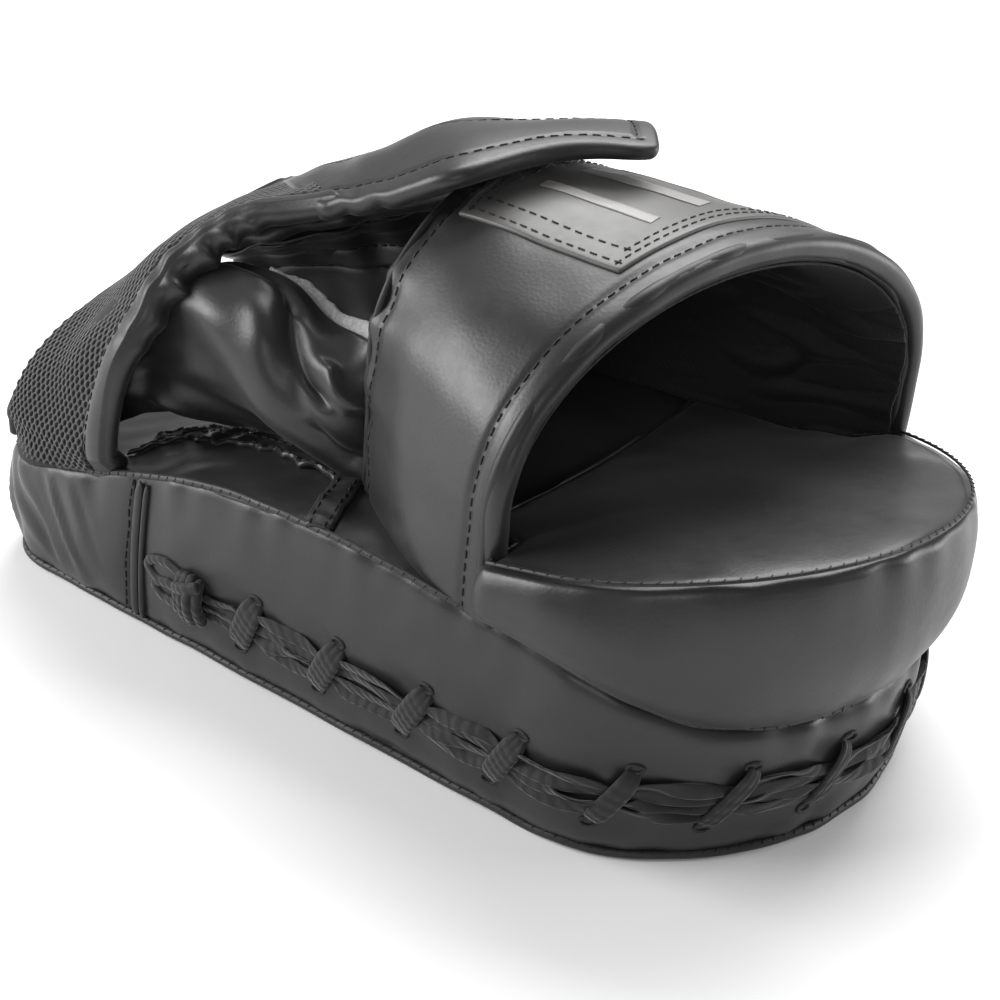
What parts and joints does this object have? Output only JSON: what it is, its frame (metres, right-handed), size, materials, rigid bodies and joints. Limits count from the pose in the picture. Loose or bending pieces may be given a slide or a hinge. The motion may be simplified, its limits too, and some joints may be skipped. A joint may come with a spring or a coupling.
{
  "type": "focus mitt",
  "caption": "Left-hand focus mitt with a laced pad, a raised finger cushion, an arched hand hood, a thumb pocket and a padded cuff with a fold-over strap.",
  "frame": {"origin": "on the target face, at the middle of the pad's width and length", "axes": "+Y from the heel to the finger tips, +X to the thumb side, +Z away from the target face"},
  "size_m": [0.1646, 0.2736, 0.149],
  "materials": {
    "leather": "soft matte grain",
    "piping": "satin",
    "foam": "closed-cell foam",
    "board": "pressed fibre",
    "lace": "flat woven",
    "lining": "smooth lining",
    "print_patch": "satin print",
    "felt": "raw felt edge",
    "loop_pile": "loop pile",
    "hook_tape": "hook tape",
    "mesh": "spacer mesh"
  },
  "bodies": {
    "pad": {"back_board": "board", "back_panel": "leather", "back_welt": "piping", "core_foam": "foam", "cushion_band": "leather", "cushion_foam": "foam", "cushion_top": "leather", "cushion_welt": "piping", "face_welt": "piping", "far_wall": "leather", "far_wall_lining": "lining", "far_wall_padding": "foam", "front_foam": "foam", "heel_wall": "leather", "heel_welts": "piping", "hood_binding": "piping", "hood_lining": "lining", "hood_padding": "foam", "hood_patch": "print_patch", "hood_rear_welt": "piping", "hood_shell": "leather", "inner_patch": "lining", "lace_knots": "lace", "lace_loops": "lace", "lace_strands": "lace", "lace_wraps": "lace", "loop_patch": "loop_pile", "palm_ball": "foam", "palm_ball_cover": "leather", "side_tab": "leather", "side_wall": "leather", "target_face": "leather", "thumb_dome": "leather", "thumb_hem": "leather", "thumb_lining": "felt"},
    "cuff": {"cuff_mesh": "mesh", "cuff_padding": "foam", "cuff_lining": "lining", "cuff_binding": "piping"},
    "strap": {"strap_cover": "leather", "strap_padding": "foam", "strap_lining": "lining", "hook_patch": "hook_tape"}
  },
  "joints": [
    {"name": "cuff_fold", "type": "hinge", "parent": "pad", "child": "cuff", "pos_m": [0.07343, -0.0985, 0.04658], "axis": [0.1913, 0.9663, 0.1722], "range_deg": [0, 30], "stiffness_Nm_per_rad": 1},
    {"name": "strap_lift", "type": "hinge", "parent": "cuff", "child": "strap", "pos_m": [0.01415, -0.05337, 0.12171], "axis": [0.6095, 0.7466, 0.2667], "range_deg": [0, 110], "stiffness_Nm_per_rad": 0.4}
  ]
}
